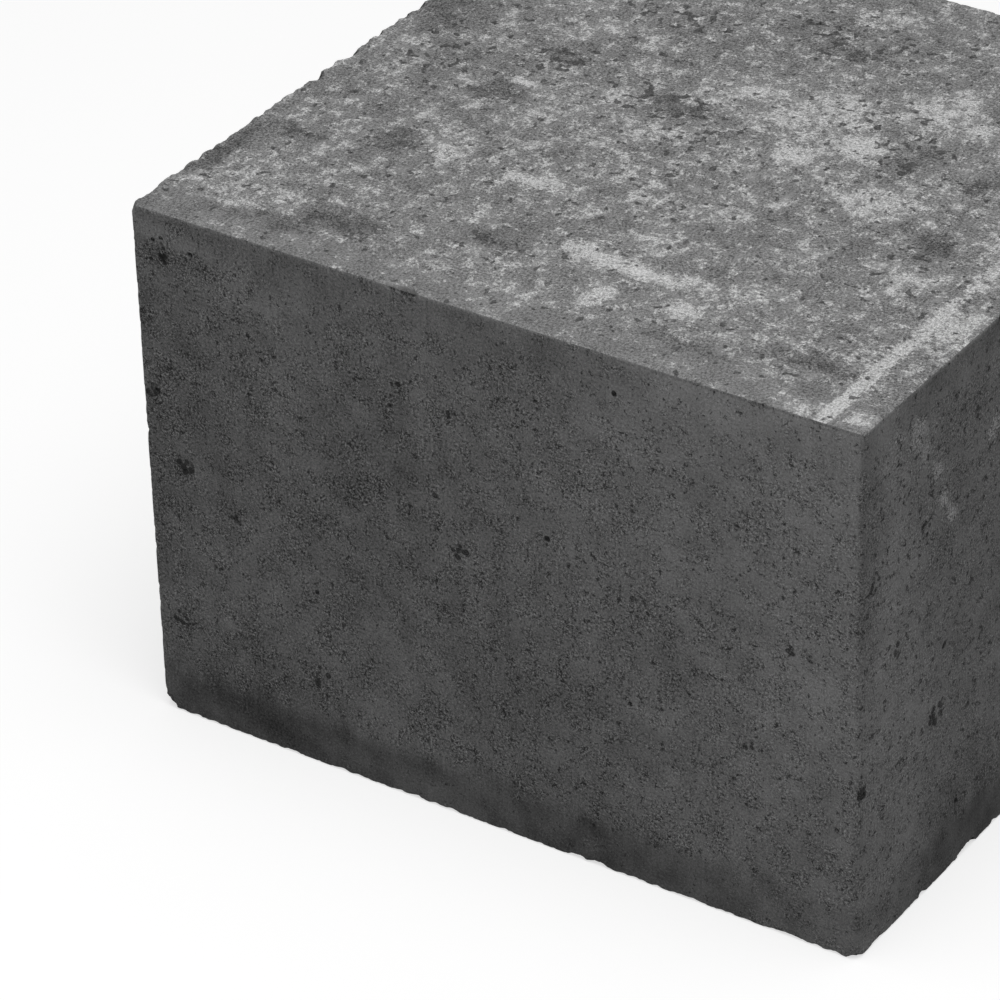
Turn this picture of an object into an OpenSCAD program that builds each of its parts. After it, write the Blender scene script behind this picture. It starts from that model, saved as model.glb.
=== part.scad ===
// Concrete wall block: one solid casting, laid in courses on its flat bed face.
// The origin is at the middle of the bed face. X runs along the face, Y from face to back, Z up.

/* [Block] */
// Length of the block along its face
block_length = 210; // [120:1:400]
// Depth of the block, from face to back
block_depth = 200; // [120:1:400]
// Height of one course
block_height = 150; // [80:1:300]

/* [Edges] */
// Radius of the four upright corners, left by the mould
corner_r = 2.5; // [1:0.1:8]
// Radius of the arris round the top face, rubbed when the top was struck off
top_r = 1; // [0.5:0.1:4]
// Radius of the arris round the bed face
bed_r = 0.8; // [0.5:0.1:4]

/* [Wear] */
// Loss along the face, the side and the upright at the broken bed corner
bed_break = [6.5, 5, 4]; // [1:0.1:15]
// The same losses at the blunted bed corner
bed_blunt = [5.5, 4.5, 2.2]; // [1:0.1:15]
// The same losses at the worn top corner
top_blunt = [5, 4, 3]; // [1:0.1:15]
// Depth of the deepest chips, from the sharp edge to the bottom of the scallop
chip_depth = 1.7; // [0.5:0.1:4]
// Length of the longest chips, along the edge
chip_length = 10; // [4:0.5:20]

/* [Hidden] */
$fn = 96;

// A corner of the sharp cuboid, named by its signs: left -1, right 1; face -1, back 1; bed -1, top 1
function corner(sign) = [
    sign.x * block_length / 2,
    sign.y * block_depth / 2,
    (sign.z + 1) * block_height / 2
];

face_left_bed = [-1, -1, -1];
face_right_bed = [1, -1, -1];
back_right_bed = [1, 1, -1];
face_left_top = [-1, -1, 1];
face_right_top = [1, -1, 1];
back_left_top = [-1, 1, 1];

// Chips along the edges. Each has the corner it is measured from, the corner at the other end of
// its edge, its distance from the first one, and its shares of the longest and deepest chip.
chips = [
    [face_left_bed, face_right_bed, 42, 0.4, 0.5],
    [face_left_bed, face_right_bed, 80, 0.5, 0.5],
    [face_right_bed, face_left_bed, 80, 0.6, 0.6],
    [face_right_bed, back_right_bed, 10, 0.6, 0.7],
    [face_right_bed, back_right_bed, 32, 0.4, 0.7],
    [face_right_bed, back_right_bed, 55, 1, 1],
    [face_left_bed, face_left_top, 84, 0.5, 0.8],
    [face_left_top, back_left_top, 11, 0.8, 0.6],
    [face_left_top, back_left_top, 32, 0.5, 0.7],
    [face_left_top, back_left_top, 77, 0.7, 0.9],
    [face_left_top, back_left_top, 92, 1, 0.9],
    [face_left_top, face_right_top, 82, 0.7, 0.7]
];

// Rectangle centred on the origin whose two upper and two lower corners have their own radius
module rounded_section(width, height, upper_r, lower_r) {
    for (side = [-1, 1]) {
        translate([side * (width / 2 - upper_r), height / 2 - upper_r]) circle(r = upper_r);
        translate([side * (width / 2 - lower_r), lower_r - height / 2]) circle(r = lower_r);
    }
    translate([upper_r - width / 2, 0]) square([width - 2 * upper_r, height / 2]);
    translate([lower_r - width / 2, -height / 2]) square([width - 2 * lower_r, height / 2]);
    translate([-width / 2, lower_r - height / 2]) square([width, height - upper_r - lower_r]);
}

// The block as it left the mould: plan, face and side outlines, each extruded, and what they share
module casting() {
    intersection() {
        linear_extrude(block_height)
            rounded_section(block_length, block_depth, corner_r, corner_r);
        translate([0, block_depth / 2, block_height / 2]) rotate([90, 0, 0])
            linear_extrude(block_depth)
                rounded_section(block_length, block_height, top_r, bed_r);
        translate([-block_length / 2, 0, block_height / 2]) rotate([90, 0, 90])
            linear_extrude(block_length)
                rounded_section(block_depth, block_height, top_r, bed_r);
    }
}

// Ball that takes a shell-shaped chip out of an edge: its chord is the chip's length
module chip_cutter(start, finish, distance, length, depth) {
    along = (finish - start) / norm(finish - start);
    outward = (start + finish) / norm(start + finish);
    ball_r = (length * length / 4 + depth * depth) / (2 * depth);
    translate(corner(start) + along * distance + outward * (ball_r - depth)) sphere(r = ball_r);
}

// Slab that takes a corner off along the flat through the three points where the loss ends
module corner_cutter(sign, loss) {
    slope = [sign.x / loss.x, sign.y / loss.y, sign.z / loss.z];
    size = 3 * max(loss);
    translate(corner(sign)) rotate([0, acos(slope.z / norm(slope)), atan2(slope.y, slope.x)])
        translate([-size / 2, -size / 2, -1 / norm(slope)]) cube(size);
}

module block() {
    color("dimgray") difference() {
        casting();
        corner_cutter(face_left_bed, bed_break);
        corner_cutter(face_right_bed, bed_blunt);
        corner_cutter(face_left_top, top_blunt);
        for (chip = chips)
            chip_cutter(chip[0], chip[1], chip[2], chip[3] * chip_length, chip[4] * chip_depth);
    }
}

block();
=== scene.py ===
# %% [markdown]
# # A cast concrete wall block
# One solid block of dark concrete, pressed in a steel mould and struck off level on top. It is
# laid in courses to make a garden wall. The plan for it in Blender is short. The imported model
# gives its size and place, a finely divided mesh takes the worn edges, the chips and the larger
# air holes, and three materials carry the grain: one for the struck top, one for the four faces
# that the mould left, and one for the bed underneath.
#
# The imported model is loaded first, so that every later size can be read from it.

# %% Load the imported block
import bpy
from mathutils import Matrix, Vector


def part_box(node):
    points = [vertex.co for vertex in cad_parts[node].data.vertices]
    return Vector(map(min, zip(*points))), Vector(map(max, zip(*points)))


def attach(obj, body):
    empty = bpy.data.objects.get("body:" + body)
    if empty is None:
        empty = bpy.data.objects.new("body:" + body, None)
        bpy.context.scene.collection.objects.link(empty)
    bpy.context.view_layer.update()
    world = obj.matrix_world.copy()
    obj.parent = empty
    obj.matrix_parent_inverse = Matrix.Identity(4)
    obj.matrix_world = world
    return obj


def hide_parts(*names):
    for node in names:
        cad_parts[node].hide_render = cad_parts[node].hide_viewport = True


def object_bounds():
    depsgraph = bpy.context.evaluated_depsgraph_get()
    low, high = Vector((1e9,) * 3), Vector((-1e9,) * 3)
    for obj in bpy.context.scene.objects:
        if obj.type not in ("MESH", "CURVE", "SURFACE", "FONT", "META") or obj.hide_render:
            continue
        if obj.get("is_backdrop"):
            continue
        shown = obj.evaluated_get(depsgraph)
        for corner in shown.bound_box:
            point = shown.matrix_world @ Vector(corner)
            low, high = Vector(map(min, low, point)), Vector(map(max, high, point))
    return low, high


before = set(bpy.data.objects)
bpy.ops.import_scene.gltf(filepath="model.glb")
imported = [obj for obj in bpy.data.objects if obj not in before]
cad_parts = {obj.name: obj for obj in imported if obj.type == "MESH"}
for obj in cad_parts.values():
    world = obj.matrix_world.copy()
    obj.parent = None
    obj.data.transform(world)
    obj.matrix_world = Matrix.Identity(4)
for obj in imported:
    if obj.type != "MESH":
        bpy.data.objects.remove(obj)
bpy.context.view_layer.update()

# %% Libraries and units
import math
import random

import bmesh
import bpy
import numpy as np
from mathutils import Euler, Vector, kdtree, noise

MM = 0.001
low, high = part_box("block")
left, front, bed = low
right, back, top = high
length, depth, height = high - low

# %% [markdown]
# ## The view
# A long lens flattens the block, so its edges run almost parallel. The camera looks down on the
# near corner, and is aimed at a point on the face with its distance, bearing, height angle and
# roll. Working from a target point keeps the numbers readable, where a bare location and three
# angles would not say what the camera sees.

# %% Camera
AIM = Vector((0.0039, front, bed + 0.0993))
DISTANCE = 1.2603
BEARING = math.radians(34.62)
HEIGHT_ANGLE = math.radians(32.30)
ROLL = math.radians(1.68)

camera = bpy.data.objects.new("camera", bpy.data.cameras.new("camera"))
camera.data.sensor_width = 36
camera.data.lens = 187.8
toward = Vector((
    math.sin(BEARING) * math.cos(HEIGHT_ANGLE),
    -math.cos(BEARING) * math.cos(HEIGHT_ANGLE),
    math.sin(HEIGHT_ANGLE),
))
camera.location = AIM + toward * DISTANCE
turn = (-toward).to_track_quat("-Z", "Y")
camera.rotation_euler = (turn @ Euler((0, 0, -ROLL)).to_quaternion()).to_euler()
bpy.context.collection.objects.link(camera)
bpy.context.scene.camera = camera
print("camera at", [round(part, 3) for part in camera.location])

# %% [markdown]
# ## Damage first
# Chips and air holes have to be real dents, and dents need small triangles. Fine triangles
# everywhere would be far too many, so all the damage is listed first, and the skin is then divided
# only where a dent is going to be. Each dent is kept as its place, the direction it faces, its width
# and depth in millimetres, how rough it is and how much painted shade it gets inside: a pit is
# painted dark inside, standing in for the shade that falls into it, and a worn edge hardly at all.
#
# ### Chips
# A chip is a dent that comes in diagonally over an edge. Each edge is named by its two corners, and
# a corner by the signs of its three sides, so that the direction outwards from an edge is simply the
# sum of its corners' signs. The chips that are easy to see are listed, with their distance along the
# edge, width and depth in millimetres.

# %% Corners and chips
CORNER_RADIUS = 2.1 * MM
TOP_RADIUS = 0.9 * MM
BED_RADIUS = 0.6 * MM
# How much painted shade a pit, a chip and a crumble get inside.
PIT, CHIP, CRUMBLE = 1.0, 0.5, 0.05
SEED = 17
random.seed(SEED)
noise.seed_set(SEED)
mid = (low + high) / 2
dents = []


def dent(place, outward, wide, deep, rough, shade):
    """Note a dent in the skin. Shade is how much painted shade darkens it inside: PIT, CHIP or
    CRUMBLE.
    """
    dents.append((Vector(place), Vector(outward).normalized(), wide, deep, rough, shade))


def corner(signs):
    """The place of a corner of the sharp cuboid."""
    return Vector([(low, mid, high)[1 + sign][axis] for axis, sign in enumerate(signs)])


def chip(start, end, distance, wide, deep, rough=0.35, shade=CHIP):
    """A chip out of the edge from start to end, its depth counted from the rounded edge."""
    along = (corner(end) - corner(start)).normalized()
    outward = (Vector(start) + Vector(end)).normalized()
    rounding = CORNER_RADIUS if start[2] != end[2] else TOP_RADIUS
    place = corner(start) + along * distance * MM - outward * rounding * (math.sqrt(2) - 1)
    dent(place, outward, wide, deep, rough, shade)


FACE_LEFT_BED, FACE_RIGHT_BED = (-1, -1, -1), (1, -1, -1)
BACK_LEFT_BED, BACK_RIGHT_BED = (-1, 1, -1), (1, 1, -1)
FACE_LEFT_TOP, FACE_RIGHT_TOP = (-1, -1, 1), (1, -1, 1)
BACK_LEFT_TOP, BACK_RIGHT_TOP = (-1, 1, 1), (1, 1, 1)
CHIPS = {
    (FACE_LEFT_BED, FACE_RIGHT_BED): [
        (42, 4, 0.3), (57, 5, 0.5), (80, 5, 0.6), (91, 5, 0.5),
        (129, 6, 0.8), (135, 7, 0.9), (162, 10, 0.4), (190, 14, 0.5),
    ],
    (FACE_RIGHT_BED, BACK_RIGHT_BED): [
        (10, 8, 0.4), (32, 4, 0.9), (54, 10, 1.2), (56.5, 4, 2.0), (68, 4, 0.7),
    ],
    (FACE_LEFT_TOP, BACK_LEFT_TOP): [
        (8, 12, 0.9), (28, 5, 1.0), (34, 4, 0.9), (50, 5, 0.5), (59, 6, 0.4), (73, 5, 0.8),
        (79, 7, 1.8), (86, 5, 0.8), (94, 10, 1.8), (101, 8, 0.9), (107, 6, 1.3), (114, 7, 1.0),
        (119, 6, 1.4), (125, 8, 1.6), (131, 6, 1.1), (139, 8, 1.4), (150, 6, 1.0),
    ],
    (FACE_LEFT_TOP, FACE_LEFT_BED): [
        (11, 2, 0.3), (24, 3, 0.4), (37, 3, 0.5), (54, 3, 0.4), (66, 3.5, 0.9), (78, 2.5, 0.4),
        (96, 3, 0.5), (117, 3, 0.4),
    ],
    (FACE_LEFT_TOP, FACE_RIGHT_TOP): [
        (8, 3, 0.4), (79, 5, 0.8), (83, 7, 1.3), (136, 2.5, 0.4),
    ],
}
for (start, end), chips in CHIPS.items():
    for distance, wide, deep in chips:
        chip(start, end, distance, wide, deep)
print("chips:", sum(map(len, CHIPS.values())))

# %% [markdown]
# Three corners are worn or lost. The deepest is at the foot of the left corner of the face,
# where the block was once set down hard.

# %% Lost corners
for signs, outward, wide, deep in [
    (FACE_LEFT_BED, (-0.6, -0.6, -0.9), 15, 3.6),
    (FACE_RIGHT_BED, (0.5, -0.5, -0.9), 12, 2.2),
    (FACE_LEFT_TOP, (-0.8, -0.5, 0.7), 10, 2.3),
]:
    dent(corner(signs), outward, wide, deep, 0.2, CRUMBLE)

# %% [markdown]
# Between the larger chips every edge has small crumbles. The left and back edges of the top lose
# most, where the bar dragged the mix, and the two edges by the near top corner are almost whole.
# Each row of the table gives an edge, the usual gap between crumbles and their largest width and
# depth. Chance decides their places. Python's random numbers and Blender's noise both start from
# the seed above, so the block and its stains are the same each time.

# %% Small crumbles along all twelve edges
def crumble(start, end, gap, wide, deep):
    """Small chips all along an edge, a gap apart on average, up to a width and depth."""
    run = (corner(end) - corner(start)).length / MM
    distance = random.uniform(0, gap)
    while distance < run:
        share = random.random() ** 1.6
        chip(start, end, distance, 1 + share * wide, 0.1 + share * deep, 0.5, CRUMBLE)
        distance += random.uniform(0.3, 1.7) * gap


for start, end, gap, wide, deep in [
    (FACE_LEFT_TOP, BACK_LEFT_TOP, 2.2, 4, 0.7), (FACE_LEFT_TOP, FACE_RIGHT_TOP, 6, 3, 0.1),
    (FACE_RIGHT_TOP, BACK_RIGHT_TOP, 4, 4, 0.3), (BACK_LEFT_TOP, BACK_RIGHT_TOP, 2.6, 4, 0.6),
    (FACE_LEFT_BED, FACE_RIGHT_BED, 3.2, 3, 0.35), (FACE_RIGHT_BED, BACK_RIGHT_BED, 5, 3, 0.15),
    (FACE_LEFT_BED, BACK_LEFT_BED, 3.2, 3, 0.45), (BACK_LEFT_BED, BACK_RIGHT_BED, 3.2, 3, 0.45),
    (FACE_LEFT_BED, FACE_LEFT_TOP, 2.8, 2.4, 0.4), (FACE_RIGHT_BED, FACE_RIGHT_TOP, 12, 2, 0.1),
    (BACK_LEFT_BED, BACK_LEFT_TOP, 2.8, 2.4, 0.4), (BACK_RIGHT_BED, BACK_RIGHT_TOP, 2.8, 2.4, 0.4),
]:
    crumble(start, end, gap, wide, deep)

# %% [markdown]
# ### Air holes
# Air that was caught against the mould leaves open pits. The larger ones sit in clusters, each a
# ring of crumbs torn out round a stone. The clusters are listed one by one, most of them on the face
# and on the right-hand side, and single pits are scattered over all six sides. Anything under a
# millimetre is left to the material.

# %% Clusters of pits
FACE, BACK, RIGHT, LEFT = (0, -1, 0), (0, 1, 0), (1, 0, 0), (-1, 0, 0)
UP, DOWN = (0, 0, 1), (0, 0, -1)


def on_side(outward, across, up):
    """A place on a side, in millimetres from the middle of the bed: across it and up it."""
    if outward in (FACE, BACK):
        return Vector((across * MM, outward[1] * depth / 2, up * MM))
    if outward in (RIGHT, LEFT):
        return Vector((outward[0] * length / 2, across * MM, up * MM))
    return Vector((across * MM, up * MM, top if outward == UP else bed))


def cluster(outward, across, up, spread, count, wide, deep):
    """Pits round a place on a side, within a spread, each up to a width and depth."""
    for _ in range(count):
        turn = random.uniform(0, 2 * math.pi)
        reach = spread * random.uniform(0.3, 1)
        place = on_side(outward, across + reach * math.cos(turn), up + reach * math.sin(turn))
        size = random.uniform(0.5, 1)
        dent(place, outward, wide * size, deep * size, 0.5, PIT)


CLUSTERS = [
    (FACE, -8, 80, 2.6, 12, 1.6, 1), (FACE, 86, 84, 1, 6, 1.9, 1.4),
    (FACE, 90.5, 84, 1.2, 5, 1.3, 0.8), (FACE, -101, 97, 2.2, 9, 2, 1.3),
    (FACE, -92, 77, 2.8, 12, 2, 1.3), (FACE, -97, 30, 2.2, 9, 1.7, 1),
    (FACE, -10, 119, 2.4, 8, 1.4, 0.8), (FACE, 74, 53, 1.4, 6, 1.6, 1),
    (FACE, -53, 27, 3, 10, 1.5, 1), (FACE, -78, 66, 2.4, 8, 1.5, 0.8),
    (FACE, 69, 41, 1.4, 5, 1.4, 0.8), (FACE, -45, 46, 0.3, 3, 1.4, 1),
    (FACE, -18, 25, 0.3, 3, 1.4, 1), (FACE, -96, 139, 4.5, 16, 1.6, 0.8),
    (FACE, 72, 113, 3.5, 9, 1.3, 0.7), (FACE, 42, 84, 0.8, 4, 1.4, 1),
    (FACE, -9, 106, 0.6, 4, 1.1, 0.7), (FACE, 100, 64, 0.8, 4, 1.2, 0.8),
    (FACE, 36, 46, 1.2, 5, 1.2, 0.7), (FACE, -69, 26, 1.8, 6, 1.1, 0.6),
    (FACE, -84, 50, 1.6, 5, 1.2, 0.6), (FACE, -10, 26, 2.2, 6, 1.1, 0.6),
    (FACE, 39, 59, 2, 6, 1.1, 0.6), (FACE, 46, 80, 4.5, 12, 1, 0.6),
    (FACE, 65, 83, 2, 6, 1.1, 0.6), (FACE, 15, 130, 1.5, 5, 1.2, 0.6),
    (FACE, 27, 14, 2, 5, 1, 0.6), (FACE, 37, 13, 2, 5, 1, 0.6), (FACE, 47, 14, 2, 5, 1, 0.6),
    (FACE, 57, 14, 2, 5, 1, 0.6), (FACE, -70, 102, 3, 6, 1, 0.6), (FACE, -34, 92, 3, 8, 1, 0.6),
    (RIGHT, -63, 51, 3.2, 13, 1.9, 1.3), (RIGHT, -79, 47, 2.6, 9, 1.6, 1),
    (RIGHT, -83, 82, 3.2, 12, 1.6, 1), (RIGHT, -98, 49, 1.2, 6, 2.3, 1.6),
    (RIGHT, -94, 106, 2.8, 9, 1.5, 1), (RIGHT, -70, 109, 2.6, 8, 1.4, 0.8),
    (RIGHT, -80, 123, 2.2, 6, 1.4, 0.8), (RIGHT, -46, 128, 2.2, 8, 1.5, 1),
    (BACK, 30, 62, 2.6, 10, 1.6, 1), (BACK, -64, 104, 2.2, 9, 1.7, 1.1),
    (BACK, 81, 31, 1.8, 6, 2, 1.4), (LEFT, 22, 88, 2.8, 10, 1.6, 1),
    (LEFT, -61, 38, 2.2, 9, 1.7, 1.1), (LEFT, 70, 120, 1.8, 6, 1.6, 1.1),
    (FACE, -22, 148, 1.6, 6, 1.6, 1),
]
for row in CLUSTERS:
    cluster(*row)

# %% Scattered pits
for outward, count in [(FACE, 14), (BACK, 50), (RIGHT, 20), (LEFT, 50), (UP, 30), (DOWN, 50)]:
    reach_across = (depth if outward in (RIGHT, LEFT) else length) / MM / 2 - 4
    for _ in range(count):
        across = random.uniform(-reach_across, reach_across)
        if outward in (UP, DOWN):
            up = random.uniform(-1, 1) * (depth / MM / 2 - 4)
        else:
            up = random.uniform(4, height / MM - 4)
        wide = 1.2 + 1.2 * random.random() ** 2.5
        deep = wide * random.uniform(0.3, 0.6)
        dent(on_side(outward, across, up), outward, wide, deep, 0.5, PIT)
print("dents in all:", len(dents))

# %% [markdown]
# ## A cuboid to start from
# Every surface point of a three-way grid is numbered once, so the six sides share their edges
# and the skin is closed. Its faces are about two and a half millimetres wide, which is enough
# for the calm parts of the sides and for the stain masks further down.

# %% Grid of the skin
STEP = 2.6 * MM


def ticks(start, end):
    """Even places along one axis."""
    return np.linspace(start, end, round((end - start) / STEP) + 1)


def sheet(numbers, flip):
    """Four-sided faces over a flat grid of point numbers."""
    corners = [numbers[:-1, :-1], numbers[1:, :-1], numbers[1:, 1:], numbers[:-1, 1:]]
    quads = np.stack(corners, axis=-1).reshape(-1, 4)
    return quads[:, ::-1] if flip else quads


xs, ys, zs = ticks(left, right), ticks(front, back), ticks(bed, top)
number = np.zeros((len(xs), len(ys), len(zs)), np.int32)
on_skin = np.zeros(number.shape, bool)
on_skin[[0, -1]] = on_skin[:, [0, -1]] = on_skin[:, :, [0, -1]] = True
number[on_skin] = np.arange(on_skin.sum())
step = np.argwhere(on_skin)
grid = np.stack([xs[step[:, 0]], ys[step[:, 1]], zs[step[:, 2]]], axis=1)
quads = np.concatenate([
    sheet(number[0], True), sheet(number[-1], False),
    sheet(number[:, 0], False), sheet(number[:, -1], True),
    sheet(number[:, :, 0], True), sheet(number[:, :, -1], False),
])
mesh = bpy.data.meshes.new("wall_block")
mesh.from_pydata(grid.tolist(), [], quads.tolist())
block = bpy.data.objects.new("wall_block", mesh)
bpy.context.collection.objects.link(block)
print("grid:", len(grid), "points,", len(quads), "faces")

# %% [markdown]
# ## Finer where it matters
# Each round looks at every edge of the mesh and halves the ones that are longer than is wanted
# at their place. A pit wants triangles a fifth of its width, a chip a third of its own, and the
# arrises want about two thirds of a millimetre. A remesh or a subdivision modifier would refine
# the calm parts just as much, and run past any sensible number of triangles.

# %% Divide round the dents and along the edges
FINEST = 0.38 * MM
ARRIS_STEP = 0.65 * MM
ARRIS_ZONE = 1.1 * MM
TOO_LONG = 1.45  # times the size that is wanted
low_corner, high_corner = np.array(low), np.array(high)


def rows(items, name):
    """A property of every vertex or face of a mesh, such as its place, one row for each."""
    values = np.empty(len(items) * 3, np.float32)
    items.foreach_get(name, values)
    return values.reshape(-1, 3)


def tree_of(points):
    """A k-d tree, which finds the points near a place quickly."""
    tree = kdtree.KDTree(len(points))
    for index, point in enumerate(points):
        tree.insert(point, index)
    tree.balance()
    return tree


def wanted_steps(points, widest):
    """The triangle size wanted at each point, when edges are still up to a widest length."""
    wanted = np.full(len(points), 1.0)
    to_sides = np.sort(np.minimum(points - low_corner, high_corner - points), axis=1)
    wanted[to_sides[:, 1] < ARRIS_ZONE + widest / 2] = ARRIS_STEP
    tree = tree_of(points)
    for place, _, wide, _, _, shade in dents:
        step = max(FINEST, wide * MM / (5 if shade == PIT else 3))
        for _, index, _ in tree.find_range(place, wide * MM / 2 + widest * 0.6):
            wanted[index] = min(wanted[index], step)
    return wanted


rough_mesh = bmesh.new()
rough_mesh.from_mesh(mesh)
bmesh.ops.triangulate(rough_mesh, faces=rough_mesh.faces)
widest = STEP
while widest > FINEST:
    places = np.array([vertex.co for vertex in rough_mesh.verts])
    wanted = wanted_steps(places, widest)
    rough_mesh.verts.index_update()
    long_edges = [
        edge for edge in rough_mesh.edges
        if edge.calc_length() > TOO_LONG * min(wanted[vertex.index] for vertex in edge.verts)
    ]
    bmesh.ops.subdivide_edges(rough_mesh, edges=long_edges, cuts=1)
    bmesh.ops.triangulate(rough_mesh, faces=rough_mesh.faces)
    widest /= 2
    print("edges halved:", len(long_edges), "triangles now:", len(rough_mesh.faces))
rough_mesh.to_mesh(mesh)
rough_mesh.free()
points = rows(mesh.vertices, "co").astype(float)

# %% [markdown]
# ## Rounded arrises
# A mould leaves its upright corners slightly round, and the struck top has a crisper arris. A
# bevel modifier would do this on a plain cube, but not on a mesh that already has its faces, so
# the points are moved. The four upright corners come first, seen in plan: each square corner
# shrinks into a quarter circle. The arrises of the top and the bed follow, seen in section: the
# distances inwards from the outline and from the flat are pulled onto a small arc.

# %% Round the edges
def ease(share):
    """Smooth step from 0 to 1."""
    share = np.clip(share, 0, 1)
    return share * share * (3 - 2 * share)


def lengths(vectors):
    """Length of each row, never quite zero."""
    return np.maximum(np.linalg.norm(vectors, axis=1), 1e-9)[:, None]


core = np.clip(points[:, :2], low_corner[:2] + CORNER_RADIUS, high_corner[:2] - CORNER_RADIUS)
out = points[:, :2] - core
furthest = np.abs(out).max(axis=1)[:, None]
out /= lengths(out)

upper = points[:, 2:] > mid.z
edge = np.where(upper, TOP_RADIUS, BED_RADIUS)
level = np.where(upper, top - points[:, 2:], points[:, 2:] - bed)
inwards = np.minimum(np.hstack([CORNER_RADIUS - furthest, level]), edge)
to_middle = inwards - edge
from_middle = edge * (1 + to_middle / lengths(to_middle))
moved = from_middle - inwards
upwards = np.where(upper, 1, -1)
points = np.hstack([
    core + out * (furthest - moved[:, :1]), points[:, 2:] - upwards * moved[:, 1:],
])
slope = to_middle / lengths(to_middle)
outward = np.hstack([-slope[:, :1] * out, -slope[:, 1:] * upwards])
outward /= lengths(outward)
print("edges rounded by", BED_RADIUS / MM, "to", CORNER_RADIUS / MM, "mm")

# %% [markdown]
# ## Uneven sides
# No cast side is truly flat. The mould bows a little, and the paste shrinks between the stones.
# Both are far too slight to see as shape, yet a flat side shows at once as a drawing, because
# it takes the light too evenly. Two layers of noise, one wide and one of a few millimetres, let
# the skin sink by about a fifth of a millimetre at most. It only ever moves inwards.

# %% Let the sides sink a little
def clouds(where, size, layers=2, shift=0.0):
    """Cloudy noise at many points, with lumps about one size across, mostly from -1 to 1."""
    offset = Vector((shift, shift, shift))
    return np.array([
        noise.fractal(Vector(point) / size + offset, 1.0, 2.0, layers) for point in where
    ])


BOW, SHRINK = 0.12, 0.09
bowed = 0.5 + 0.5 * np.clip(clouds(points, 45 * MM, 1), -1, 1)
shrunk = 0.5 + 0.5 * np.clip(clouds(points, 5 * MM, 1, 9.0), -1, 1)
points -= outward * (BOW * bowed + SHRINK * shrunk)[:, None] * MM
print("sides sunk by up to", round(BOW + SHRINK, 2), "mm")

# %% [markdown]
# ## Press the dents in
# Each dent is a rough ball pushed into the skin. Points inside the ball move out to its surface,
# away from its middle, so the dent is as smooth or crumbly as the ball. The ball's bumps are a share
# of the dent's depth, since bumps in proportion to the ball itself would wipe out a wide shallow
# chip. How far each point was moved, times the shade of its dent, is kept as well, so that the
# materials can paint shade into the deep pits, where little light gets in. At the end nothing may
# stand out of the block's own box, which a ball close to an edge could otherwise cause.

# %% Press
BUMPS_PER_METRE = 900
tree = tree_of(points)
# How much painted shade each point gets, from the depth of its dent.
dent_shade = np.zeros(len(points))
for place, facing, wide, deep, rough, shade in dents:
    ball = (wide * wide / 4 + deep * deep) / (2 * deep) * MM
    middle = place + facing * (ball - deep * MM)
    bumps = rough * deep * MM
    for _, index, _ in tree.find_range(middle, ball + bumps):
        here = Vector(points[index])
        away = here - middle
        reach = ball + bumps * noise.noise(here * BUMPS_PER_METRE)
        if away.length < reach:
            points[index] = middle + away.normalized() * reach
            moved = (reach - away.length) / MM * shade
            dent_shade[index] = max(dent_shade[index], moved)
points = np.clip(points, low_corner, high_corner)
mesh.vertices.foreach_set("co", points.astype(np.float32).ravel())
mesh.update()
print("block:", len(mesh.polygons), "triangles; lowest", points.min(axis=0).round(4))

# %% [markdown]
# ## Masks on the mesh
# A stain or a crowd of pores covers many points of the mesh, so it can be worked out once for
# each point and kept there, where every material can read it at no cost. Working these wide
# masks out in the material instead would be slower, since the bump asks for them three times at
# every sample. Only what is finer than the mesh is left to the nodes.

# %% Mask tools
STAIN_EDGE, STAIN_FADE = 1.15, 0.8
where = rows(mesh.vertices, "co") / MM


def keep(name, values):
    """Store one number for each point of the mesh, for an Attribute node to read."""
    layer = mesh.attributes.new(name, "FLOAT", "POINT")
    layer.data.foreach_set("value", np.asarray(values, np.float32))
    print(f"{name}: from {values.min():.2f} to {values.max():.2f}, mean {values.mean():.2f}")


def stains(places, spots):
    """The strongest of several soft ellipsoids at each place: middle, size and strength."""
    strongest = np.zeros(len(places))
    for middle, size, strength in spots:
        span = np.linalg.norm((places - middle) / size, axis=1)
        strongest = np.maximum(strongest, strength * ease((STAIN_EDGE - span) / STAIN_FADE))
    return strongest


def bent(size, reach):
    """The points' places, moved about by soft noise, so that no ellipse shows."""
    moved = [noise.noise_vector(Vector(point) / size) for point in where]
    return where + reach * np.array(moved)


# %% Noise that all sides share
keep("dent_shade", dent_shade)
keep("broad", clouds(where, 50.0, 3))
keep("middling", clouds(where, 7.0, 3, 3.0))
keep("smooth", clouds(where, 6.0, 3, 7.0))
crowd = clouds(where, 13.0, 2, 5.0)

# %% Pale and dark places
FACE_Y, SIDE_X, TOP_Z = front / MM, right / MM, top / MM
PALE_ON_FACES = [
    ((110, FACE_Y, 105), (100, 30, 95), 1.2), ((94, FACE_Y, 130), (34, 30, 24), 2.0),
    ((70, FACE_Y, 140), (45, 30, 16), 0.7), ((-72, FACE_Y, 138), (14, 30, 9), 0.6),
    ((50, FACE_Y, 132), (34, 30, 22), 1.3),
    ((78, FACE_Y, 148), (50, 30, 14), 2.7), ((-94, FACE_Y, 146), (20, 30, 5), 1.5),
    ((SIDE_X, -70, 125), (30, 14, 26), 0.5), ((SIDE_X, -88, 45), (30, 24, 55), 1.0),
]
DARK_ON_FACES = [
    ((-95, FACE_Y, 138), (20, 30, 8), 1.0), ((15, FACE_Y, 141), (14, 30, 7), 0.9),
    ((-38, FACE_Y, 105), (22, 30, 22), 0.6), ((5, FACE_Y, 50), (34, 30, 22), 0.8),
    ((30, FACE_Y, 110), (16, 30, 10), 0.5), ((-25, FACE_Y, 50), (60, 30, 28), 0.4),
    ((SIDE_X, -46, 12), (30, 26, 24), 1.5), ((SIDE_X, -44, 149), (30, 22, 8), 1.5),
    ((SIDE_X, -66, 149), (30, 26, 8), 1.0),
    ((-66, FACE_Y, 18), (62, 30, 26), 1.1), ((-105, FACE_Y, 88), (34, 30, 76), 1.05),
]
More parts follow.
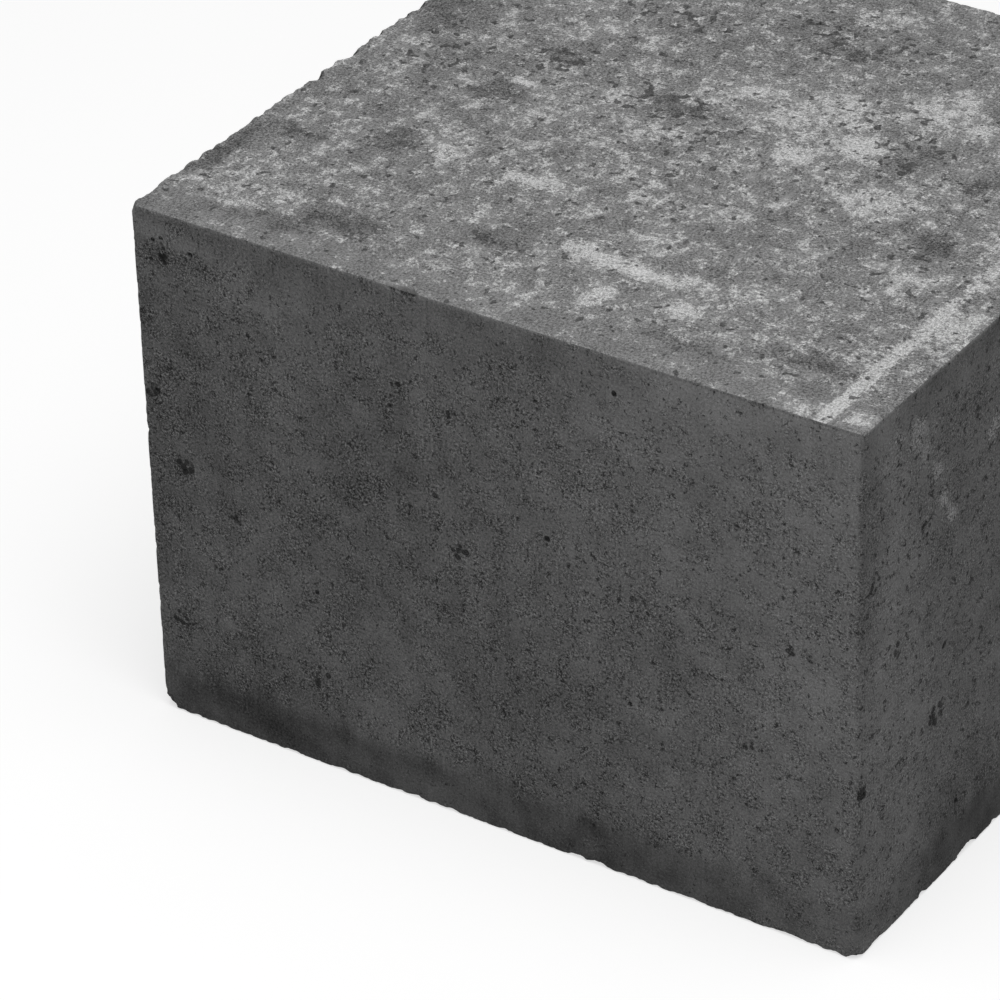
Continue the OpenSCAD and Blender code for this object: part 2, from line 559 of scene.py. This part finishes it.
TRAIL = [
    ((SIDE_X, -84, 141), (30, 5, 4), 0.75), ((SIDE_X, -75, 138), (30, 5, 5), 0.9),
    ((SIDE_X, -71, 131), (30, 5, 6), 0.9), ((SIDE_X, -66, 123), (30, 4, 6), 0.8),
    ((SIDE_X, -61, 113), (30, 3.5, 6), 0.85), ((SIDE_X, -57.5, 106), (30, 3, 4), 1.6),
    ((SIDE_X, -38, 118), (30, 4, 6), 0.95), ((SIDE_X, -48, 96), (30, 3, 5), 0.5),
]
PALE_ON_TOP = [
    ((20, -63, TOP_Z), (21, 3.5, 9), 1.3), ((4, -61, TOP_Z), (9, 3, 9), 0.9),
    ((18, -79, TOP_Z), (4, 8, 9), 0.9), ((40, -73, TOP_Z), (6, 4, 9), 0.9),
    ((-52, -38, TOP_Z), (5, 4.5, 9), 1.0), ((-27, -38, TOP_Z), (10, 4, 9), 0.9),
    ((0, -24, TOP_Z), (6, 2.2, 9), 1.0), ((-57, 5, TOP_Z), (5, 4, 9), 1.2),
    ((-40, 38, TOP_Z), (4, 4, 9), 0.7), ((-4, 30, TOP_Z), (4, 5, 9), 0.8),
    ((35, 18, TOP_Z), (6, 8, 9), 1.1), ((22, 7, TOP_Z), (6, 6, 9), 1.0),
    ((20, 24, TOP_Z), (22, 20, 9), 0.5), ((50, -5, TOP_Z), (12, 9, 9), 0.55),
    ((77, -35, TOP_Z), (8, 9, 9), 0.6), ((43, 49, TOP_Z), (9, 7, 9), 0.65),
    ((4, 81, TOP_Z), (8, 8, 9), 0.5), ((-82, -77, TOP_Z), (17, 12, 9), 0.3),
    ((99, -48, TOP_Z), (5, 14, 9), 0.7), ((-5.5, -60, TOP_Z), (1.2, 5, 9), 0.9),
    ((94, -95, TOP_Z), (15, 6, 9), 0.8), ((34, -61, TOP_Z), (5, 4, 9), 0.6),
    ((45, 43, TOP_Z), (16, 10, 9), 0.6), ((-10, -5, TOP_Z), (70, 60, 9), 0.12),
]
DARK_ON_TOP = [
    ((76, -16, TOP_Z), (7, 5, 9), 1.0), ((71, 16, TOP_Z), (5, 6, 9), 0.9),
    ((-93, -49, TOP_Z), (12, 4, 9), 0.8), ((-101, -66, TOP_Z), (3, 20, 9), 0.8),
    ((-55, -81, TOP_Z), (17, 6, 9), 0.8), ((-16, -69, TOP_Z), (10, 6, 9), 0.8),
    ((-66, -38, TOP_Z), (6, 8, 9), 0.7), ((-58, -3, TOP_Z), (10, 8, 9), 0.6),
    ((-15, 12, TOP_Z), (14, 6, 9), 0.6), ((14, 60, TOP_Z), (11, 3, 9), 1.0),
    ((50, 18, TOP_Z), (8, 8, 9), 0.4), ((-95, 26, TOP_Z), (12, 12, 9), 0.5),
    ((-54, 21, TOP_Z), (8, 7, 9), 0.6), ((78, -78, TOP_Z), (14, 5, 9), 0.8),
    ((46, -86, TOP_Z), (14, 4, 9), 0.7),
    ((0, 67, TOP_Z), (20, 10, 9), 0.3), ((-70, -89, TOP_Z), (22, 2, 9), 0.6),
]
FLECKED_ON_TOP = [
    ((-20, 13, TOP_Z), (24, 12, 9), 0.75), ((-54, 18, TOP_Z), (12, 14, 9), 0.8),
    ((47, 20, TOP_Z), (11, 16, 9), 0.8), ((3, 68, TOP_Z), (26, 15, 9), 0.7),
    ((-42, 55, TOP_Z), (20, 10, 9), 0.7), ((-5, 0, TOP_Z), (22, 14, 9), 0.6),
    ((30, 35, TOP_Z), (20, 20, 9), 0.35), ((-80, 5, TOP_Z), (14, 25, 9), 0.5),
    ((-5, -25, TOP_Z), (18, 10, 9), 0.4),
    ((74, -22, TOP_Z), (14, 16, 9), 0.5), ((70, 70, TOP_Z), (30, 20, 9), 0.6),
]
on_top = where[:, 2] > TOP_Z - 1
finely, widely = bent(6.0, 3.0), bent(28.0, 8.0)

# The right-hand side is dark just behind the near corner, most of all in its upper half.
high_up = ease((widely[:, 2] - 65) / 35)
behind_corner = (FACE_Y + 7 + 6 * high_up - finely[:, 1]) / (5 + 4 * high_up)
behind_corner = (0.45 + 0.65 * high_up) * ease(behind_corner)
behind_corner *= ease((where[:, 0] - SIDE_X + 2) / 1.8)

pale = stains(widely, PALE_ON_FACES) * (1 - 0.6 * behind_corner)
pale = np.where(on_top, stains(finely, PALE_ON_TOP), pale)
dark = np.maximum(stains(widely, DARK_ON_FACES), behind_corner)
dark = np.where(on_top, stains(finely, DARK_ON_TOP), dark)
keep("pale", pale)
keep("dark", dark)
keep("trail", np.where(on_top, 0, stains(finely, TRAIL)))
keep("flecked", np.where(on_top, stains(finely, FLECKED_ON_TOP), 0))

# %% Where pores crowd
near_clusters = np.zeros(len(where))
for outward, across, up, spread, *_ in CLUSTERS:
    middle = np.array(on_side(outward, across, up)) / MM
    span = np.linalg.norm(widely - middle, axis=1)
    near_clusters = np.maximum(near_clusters, ease(1 - span / (spread * 3)))
keep("crowd", crowd + 1.2 * near_clusters + 0.6 * (where[:, 0] > SIDE_X - 1))

# %% [markdown]
# ## Materials
# The block is a neutral grey all over, so every pattern is worked out as one number, its
# lightness, and that number feeds the colour. The small class below adds nodes to a tree and
# hands back their output sockets, so that a pattern reads like a sum. Lengths inside the
# materials are in millimetres.

# %% A short way to write nodes
class Nodes:
    """Adds nodes to one tree. An input may be a number, a tuple or another node's socket."""

    def __init__(self, tree):
        self.tree = tree

    def feed(self, socket, value):
        if isinstance(value, bpy.types.NodeSocket):
            self.tree.links.new(value, socket)
        else:
            socket.default_value = value

    def add(self, kind, inputs=(), **settings):
        made = self.tree.nodes.new(kind)
        for name, value in settings.items():
            setattr(made, name, value)
        for name, value in dict(inputs).items():
            self.feed(made.inputs[name], value)
        return made

    def step(self, kind, operation, values):
        made = self.add(kind, operation=operation)
        for socket, value in zip(made.inputs, values):
            self.feed(socket, value)
        return made

    def math(self, operation, *values):
        """One maths step on numbers."""
        return self.step("ShaderNodeMath", operation, values).outputs[0]

    def vector(self, operation, *values):
        """One maths step on vectors."""
        return self.step("ShaderNodeVectorMath", operation, values).outputs["Vector"]

    def times(self, *values):
        product = values[0]
        for value in values[1:]:
            product = self.math("MULTIPLY", product, value)
        return product

    def total(self, *values):
        result = values[0]
        for value in values[1:]:
            result = self.math("ADD", result, value)
        return result

    def ramp(self, value, start, end):
        """0 at start and 1 at end, smooth between and level beyond them."""
        inputs = {"Value": value, "From Min": start, "From Max": end}
        made = self.add("ShaderNodeMapRange", inputs, interpolation_type="SMOOTHSTEP")
        return made.outputs["Result"]

    def mix(self, share, a, b):
        """From a to b by a share."""
        return self.add("ShaderNodeMix", {"Factor": share, "A": a, "B": b}).outputs["Result"]

    def noise(self, vector, size, detail=1.0, rough=0.6):
        """Flat cloudy noise, lumps about one size across, centred on 0 and mostly within 1."""
        inputs = {"Vector": vector, "Scale": self.math("DIVIDE", 1.0, size)}
        inputs |= {"Detail": detail, "Roughness": rough}
        made = self.add("ShaderNodeTexNoise", inputs, noise_dimensions="2D")
        return self.times(self.math("SUBTRACT", made.outputs[0], 0.5), 4.0)

    def mask(self, name):
        """A mask that the mesh keeps."""
        return self.add("ShaderNodeAttribute", attribute_name=name).outputs["Fac"]

    def group(self, name, **inputs):
        """Places a node group."""
        made = self.add("ShaderNodeGroup", node_tree=bpy.data.node_groups[name])
        for key, value in inputs.items():
            self.feed(made.inputs[key.replace("_", " ")], value)
        return made.outputs


def effect(name, inputs, outputs):
    """A new node group, from its inputs' starting values and its outputs' names."""
    tree = bpy.data.node_groups.new(name, "ShaderNodeTree")
    for socket, value in inputs.items():
        kind = "NodeSocketVector" if isinstance(value, tuple) else "NodeSocketFloat"
        made = tree.interface.new_socket(socket, in_out="INPUT", socket_type=kind)
        made.default_value = value
    for socket in outputs:
        tree.interface.new_socket(socket, in_out="OUTPUT", socket_type="NodeSocketFloat")
    entry = tree.nodes.new("NodeGroupInput").outputs
    leave = tree.nodes.new("NodeGroupOutput").inputs
    return Nodes(tree), entry, leave


ORIGIN = (0.0, 0.0, 0.0)

# %% [markdown]
# ### Grain
# Under a lens the paste is sand and cement, and it is uneven at every size below a millimetre. A
# single noise with three octaves of equal strength gives that. Where the paste has flowed over
# the sand it is smooth, so the group fades its grain there. It puts out the grain as a value
# around 0.
#
# All these patterns are flat ones. They are laid over the block as a sheet, which costs a third
# of what noise in three dimensions would.

# %% Grain group
kit, entry, leave = effect("grain", {"Vector": ORIGIN, "Size": 1.1, "Smooth": 0.0}, ["Value"])
value = kit.noise(entry["Vector"], entry["Size"], detail=2.0, rough=1.0)
kit.feed(leave["Value"], kit.times(value, kit.mix(entry["Smooth"], 1.15, 0.5)))

# %% [markdown]
# ### Patches
# Lime that the water brings out dries as a whitish crust, and bare spots stay dark. Neither is
# ever even: they are ragged, with a haze and crisp specks round them. Cover says how much there
# is at a place, and one noise decides where the patches are. Detail adds finer octaves to it.
# At a smaller size and with a crisper edge, the same group gives the crumbly gaps and pores
# between the grains of sand.

# %% Patches group
inputs = {"Vector": ORIGIN, "Size": 5.0, "Cover": 0.2, "Soft": 0.6, "Detail": 4.0}
kit, entry, leave = effect("patches", inputs, ["Mask"])
field = kit.noise(entry["Vector"], entry["Size"], detail=entry["Detail"], rough=0.9)
limit = kit.mix(entry["Cover"], 0.8, -0.8)
half = kit.times(entry["Soft"], 0.5)
low_end, high_end = kit.math("SUBTRACT", limit, half), kit.math("ADD", limit, half)
kit.feed(leave["Mask"], kit.ramp(field, low_end, high_end))

print("groups:", [tree.name for tree in bpy.data.node_groups])

# %% What every material of the block starts and ends with
def new_material(name):
    """A new material: itself, its node kit, its place in millimetres and its shader."""
    material = bpy.data.materials.new(name)
    material.use_nodes = True
    kit = Nodes(material.node_tree)
    place = kit.add("ShaderNodeTexCoord").outputs["Object"]
    place = kit.vector("MULTIPLY", place, (1 / MM, 1 / MM, 1 / MM))
    return material, kit, place, material.node_tree.nodes["Principled BSDF"]


def sheet_place(kit, across, up, shift=130.0):
    """A place on a flat sheet, shifted off the origin, where all octaves of a noise meet."""
    inputs = {"X": kit.total(across, shift), "Y": kit.total(up, shift)}
    return kit.add("ShaderNodeCombineXYZ", inputs).outputs["Vector"]


def finish_shader(kit, shader, tone, roughness, relief):
    """Colour from a lightness, and bump from a relief in millimetres."""
    bump = kit.add("ShaderNodeBump", {"Height": relief, "Distance": MM})
    kit.feed(shader.inputs["Base Color"], tone)
    kit.feed(shader.inputs["Roughness"], roughness)
    kit.feed(shader.inputs["Normal"], bump.outputs["Normal"])
    shader.inputs["Specular IOR Level"].default_value = 0.3


# %% [markdown]
# ### Mould faces
# The four upright faces are dark paste with pores. They are palest near the upright corner at the
# right of the face. Along the foot runs a smooth, darker band with a ragged upper edge. It dies out
# towards that corner, and towards the one diagonally across from it.
# Under the top is a calmer strip. In between, calm paste and crumbly paste lie side by side, and
# the places where pits crowd are crumbly too.
# Grains that stand out are painted paler, a painted highlight on their tops, and gaps and pits are
# painted nearly black, a painted shade. The right-hand side is more open, with wider gaps and less
# grain, and a little lime has dried on it. The mould was drawn off upwards while the mix was green,
# which left faint upright streaks: noise drawn out along Z.

# %% Mould face material
PASTE = 0.147
# The near-black of the painted shade in gaps, pores and pits.
PORE_SHADE = 0.018
mould_face, kit, place, shader = new_material("mould_face")
here = kit.add("ShaderNodeSeparateXYZ", {"Vector": place}).outputs
along = kit.total(here["X"], here["Y"])
flat = sheet_place(kit, along, here["Z"])
drawn = sheet_place(kit, along, kit.times(here["Z"], 0.06), 50.0)
apart = sheet_place(kit, along, here["Z"], 500.0)
middling = kit.mask("middling")
streaks = kit.noise(drawn, 1.2, detail=1.0)
foot = kit.ramp(kit.total(here["Z"], middling, kit.times(streaks, 0.6)), 18.0, 10.0)
from_corner = kit.math("ABSOLUTE", kit.math("SUBTRACT", along, SIDE_X + FACE_Y))
foot = kit.times(foot, kit.total(0.3, kit.times(0.7, kit.ramp(from_corner, 10.0, 45.0))))
rim = kit.ramp(kit.total(here["Z"], kit.times(2.0, middling)), TOP_Z - 12.0, TOP_Z - 7.0)

calm = kit.total(
    kit.noise(apart, 4.5, detail=1.0), kit.times(kit.mask("crowd"), -0.8), foot,
    kit.times(rim, 0.8),
)
calm = kit.ramp(calm, -1.1, 0.9)
open_side = kit.math("GREATER_THAN", here["X"], SIDE_X - 1.0)
grain = kit.group("grain", Vector=flat, Size=0.7, Smooth=calm)["Value"]
grain = kit.times(grain, kit.mix(open_side, 1.0, 0.75))
cover = kit.total(kit.mix(calm, 0.17, 0.05), kit.times(foot, -0.12))
crumbs = kit.group(
    "patches", Vector=apart, Size=kit.mix(open_side, 1.9, 2.6), Cover=cover, Soft=0.45, Detail=3.0,
)["Mask"]
dent_shade = kit.total(1.0, kit.times(grain, 2.0), kit.times(crumbs, 0.6))
dent_shade = kit.ramp(kit.times(kit.mask("dent_shade"), dent_shade), 0.05, 0.6)
lime = kit.total(1.0, kit.times(grain, 0.8), kit.times(middling, 0.4))
lime = kit.ramp(kit.times(kit.mask("trail"), lime), 0.35, 1.3)

# Painted highlight: where the grain stands highest it is painted paler.
tone = kit.total(
    1.0, kit.times(kit.mask("broad"), 0.18), kit.times(middling, 0.25),
    kit.times(grain, kit.mix(foot, 1.1, 0.6)), kit.times(kit.ramp(grain, 0.25, 0.8), 0.5),
    kit.times(kit.noise(apart, 7.0, detail=1.0), 0.08),
    kit.times(streaks, kit.total(0.04, kit.times(0.05, rim))),
    kit.times(kit.mask("pale"), 0.24), kit.times(kit.mask("dark"), -0.18), kit.times(foot, -0.41),
)
pale_paste = kit.times(0.4, kit.total(1.0, kit.times(grain, 0.6)))
tone = kit.mix(kit.times(lime, 0.8), kit.times(tone, PASTE), pale_paste)
# Painted shade: the gaps and pores between the grains are painted nearly black.
tone = kit.mix(kit.times(crumbs, 0.9), tone, PORE_SHADE)
# Painted shade: inside the dents the paste is painted nearly black, standing in for the shade in
# them.
tone = kit.mix(dent_shade, tone, kit.times(PORE_SHADE, kit.total(0.7, grain)))
relief = kit.total(kit.times(grain, kit.mix(foot, 0.12, 0.06)), kit.times(crumbs, -0.6))
finish_shader(kit, shader, tone, kit.mix(calm, 0.92, 0.8), relief)
print("mould face:", len(kit.tree.nodes), "nodes")

# %% [markdown]
# ### Struck top
# The top was levelled with a bar while the mix was fresh, so it is rough and open, and rain has
# brought lime out on it. The struck paste comes first, a middle grey that is paler than the faces'
# paste: partly its own colour, and partly the stronger light that falls on the top, painted in. Lime
# blooms over it in ragged pale patches where water stood, dark paste shows through in others, and
# clusters of small crisp flecks mark where the crust came off. A calmer margin runs along the face,
# and a pale line near the right-hand edge, where the guide of the bar rested.

# %% Struck top material
# Partly painted light: this grey is paler than the faces' paste partly to stand in for the stronger
# light on the top.
STRUCK_GREY_AND_TOP_LIGHT = 0.272
LIME = 0.72
BARE = 0.075
GUIDE_X = SIDE_X - 11.8
struck_top, kit, place, shader = new_material("struck_top")
here = kit.add("ShaderNodeSeparateXYZ", {"Vector": place}).outputs
flat = sheet_place(kit, here["X"], here["Y"])
apart = sheet_place(kit, here["X"], here["Y"], 500.0)
middling = kit.mask("middling")
pale, dark = kit.mask("pale"), kit.mask("dark")
wavy = kit.total(here["Y"], kit.times(middling, 2.0))
margin = kit.ramp(wavy, FACE_Y + 14.0, FACE_Y + 10.0)
from_line = kit.math("ABSOLUTE", kit.math("SUBTRACT", here["X"], GUIDE_X))
line = kit.times(kit.ramp(from_line, 2.8, 0.8), kit.ramp(here["Y"], 10.0, -40.0))
smooth = kit.math("MAXIMUM", kit.ramp(kit.mask("smooth"), 0.3, 0.6), kit.times(margin, 0.35))

grain = kit.group("grain", Vector=flat, Size=0.75, Smooth=smooth)["Value"]
cover = kit.total(
    0.28, kit.times(pale, 0.53), kit.times(middling, 0.24), kit.times(line, 0.55),
    kit.times(margin, -0.17), kit.times(dark, -0.25),
)
bloom = kit.group("patches", Vector=flat, Size=4.0, Cover=cover, Soft=0.65)["Mask"]
bare = kit.total(0.2, kit.times(dark, 0.42), kit.times(margin, -0.05))
bare = kit.group("patches", Vector=apart, Size=4.5, Cover=bare, Soft=0.5)["Mask"]
fleck = kit.total(-0.03, kit.times(kit.mask("flecked"), 0.48))
flecks = kit.group("patches", Vector=apart, Size=4.0, Cover=fleck, Soft=0.2, Detail=1.5)["Mask"]
spots = kit.math("MAXIMUM", kit.times(bare, 0.8), flecks)
dent_shade = kit.times(kit.mask("dent_shade"), kit.total(1.0, kit.times(grain, 1.5)))
dent_shade = kit.ramp(dent_shade, 0.1, 0.5)

tone = kit.total(
    1.0, kit.times(kit.mask("broad"), 0.08), kit.times(middling, 0.2), kit.times(grain, 0.7),
    kit.times(kit.noise(apart, 6.0, detail=1.0), 0.06), kit.times(pale, 0.3),
    kit.times(dark, -0.35), kit.times(margin, -0.08),
)
lime = kit.times(LIME, kit.total(1.0, kit.times(grain, 0.6)))
tone = kit.mix(kit.times(bloom, 0.85), kit.times(tone, STRUCK_GREY_AND_TOP_LIGHT), lime)
tone = kit.mix(kit.times(spots, 0.85), tone, kit.times(BARE, kit.total(1.0, grain)))
# Painted shade inside the dents of the top.
tone = kit.mix(kit.times(dent_shade, 0.6), tone, 0.05)
relief = kit.times(grain, 0.15)
finish_shader(kit, shader, tone, kit.mix(bloom, 0.9, 0.97), relief)
print("struck top:", len(kit.tree.nodes), "nodes")

# %% [markdown]
# ### Bed
# The underside stood on the production board. It is the plainest side: paste pressed flat, a
# little paler than the faces, with open pores and no lime.

# %% Bed material
bed_face, kit, place, shader = new_material("bed_face")
here = kit.add("ShaderNodeSeparateXYZ", {"Vector": place}).outputs
flat = sheet_place(kit, here["X"], here["Y"])
smooth = kit.ramp(kit.mask("smooth"), 0.0, 0.3)
grain = kit.group("grain", Vector=flat, Size=1.1, Smooth=smooth)["Value"]
apart = sheet_place(kit, here["X"], here["Y"], 500.0)
cover = kit.total(0.1, kit.times(kit.mask("crowd"), 0.08))
crumbs = kit.group("patches", Vector=apart, Size=2.1, Cover=cover, Soft=0.4, Detail=2.0)["Mask"]
dent_shade = kit.ramp(kit.mask("dent_shade"), 0.05, 0.6)
tone = kit.total(1.0, kit.times(kit.mask("middling"), 0.15), kit.times(grain, 0.8))
# Painted shade: the bed's pores are painted nearly black.
tone = kit.mix(kit.times(crumbs, 0.8), kit.times(tone, 0.13), PORE_SHADE)
# Painted shade inside the dents of the bed.
tone = kit.mix(dent_shade, tone, PORE_SHADE)
relief = kit.total(kit.times(grain, 0.1), kit.times(crumbs, -0.3))
finish_shader(kit, shader, tone, kit.mix(smooth, 0.92, 0.8), relief)
print("bed:", len(kit.tree.nodes), "nodes")

# %% [markdown]
# Each triangle takes its material from the flat side that it lies closest to, so a dent in the
# top stays top, and the change comes along the middle of each arris.

# %% Give each triangle its material
for material in (mould_face, struck_top, bed_face):
    mesh.materials.append(material)
middles = rows(mesh.polygons, "center")
to_low, to_high = middles - low_corner, high_corner - middles
from_side = np.minimum(to_low, to_high)[:, :2].min(axis=1)
slots = np.where(to_high[:, 2] < from_side, 1, np.where(to_low[:, 2] < from_side, 2, 0))
mesh.polygons.foreach_set("material_index", slots.astype(np.int32))
mesh.shade_smooth()
mesh.set_sharp_from_angle(angle=math.radians(35))
print("triangles on faces, top and bed:", np.bincount(slots))

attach(block, "root")
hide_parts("block")

# %% [markdown]
# ## Studio
# A plain pale floor and soft light from above, at a level where a colour comes out about as it
# is written. The floor looks nearly white to the camera, but throws back only as much light as
# pale grey board would, so the foot of the block stays dark. Its shadow stays, at half its
# strength.

# %% Floor
FLOOR_REACH = 6.0
floor_mesh = bpy.data.meshes.new("floor")
ring = [(-1, -1), (1, -1), (1, 1), (-1, 1)]
floor_mesh.from_pydata([(x * FLOOR_REACH, y * FLOOR_REACH, bed) for x, y in ring], [], [range(4)])
floor = bpy.data.objects.new("floor", floor_mesh)
bpy.context.collection.objects.link(floor)
pale_floor = bpy.data.materials.new("pale_floor")
pale_floor.use_nodes = True
kit = Nodes(pale_floor.node_tree)
board = pale_floor.node_tree.nodes["Principled BSDF"]
board.inputs["Base Color"].default_value = (0.5, 0.5, 0.5, 1)
board.inputs["Roughness"].default_value = 0.95
ray = kit.add("ShaderNodeLightPath").outputs
seen = kit.math("MAXIMUM", ray["Is Camera Ray"], ray["Is Glossy Ray"])
seen = kit.math("MAXIMUM", seen, ray["Is Transmission Ray"])
glow = kit.add("ShaderNodeEmission", {"Color": (1, 1, 1, 1), "Strength": kit.times(seen, 0.62)})
both = kit.add("ShaderNodeAddShader")
kit.feed(both.inputs[0], board.outputs["BSDF"])
kit.feed(both.inputs[1], glow.outputs["Emission"])
kit.feed(pale_floor.node_tree.nodes["Material Output"].inputs["Surface"], both.outputs["Shader"])
floor_mesh.materials.append(pale_floor)
floor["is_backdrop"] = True


# %% Lamps and world
def softbox(name, place, size, power):
    """A square lamp that points at the middle of the block."""
    lamp = bpy.data.lights.new(name, "AREA")
    lamp.size = size
    lamp.energy = power
    box = bpy.data.objects.new(name, lamp)
    box.location = place
    box.rotation_euler = (mid - box.location).to_track_quat("-Z", "Y").to_euler()
    bpy.context.collection.objects.link(box)


softbox("overhead", Vector((0.25, -0.35, 1.5)), 1.2, 14.5)
world = bpy.data.worlds.new("studio")
world.use_nodes = True
world.node_tree.nodes["Background"].inputs["Color"].default_value = (1, 1, 1, 1)
world.node_tree.nodes["Background"].inputs["Strength"].default_value = 0.3
scene = bpy.context.scene
scene.world = world
scene.view_settings.view_transform = "Standard"
scene.cycles.diffuse_bounces = 1
scene.cycles.glossy_bounces = 1

# %% [markdown]
# The finished block has to fill the same box as the imported one, and never stand out of it. Its top
# has sunk a few hundredths of a millimetre. How much smaller it comes out along each axis is
# printed.

# %% Print how much smaller the block came out
seen_low, seen_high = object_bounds()
less = [round((seen - packed) / MM, 2) for seen, packed in zip(seen_high - seen_low, high - low)]
print("visual less packed, in mm:", less)
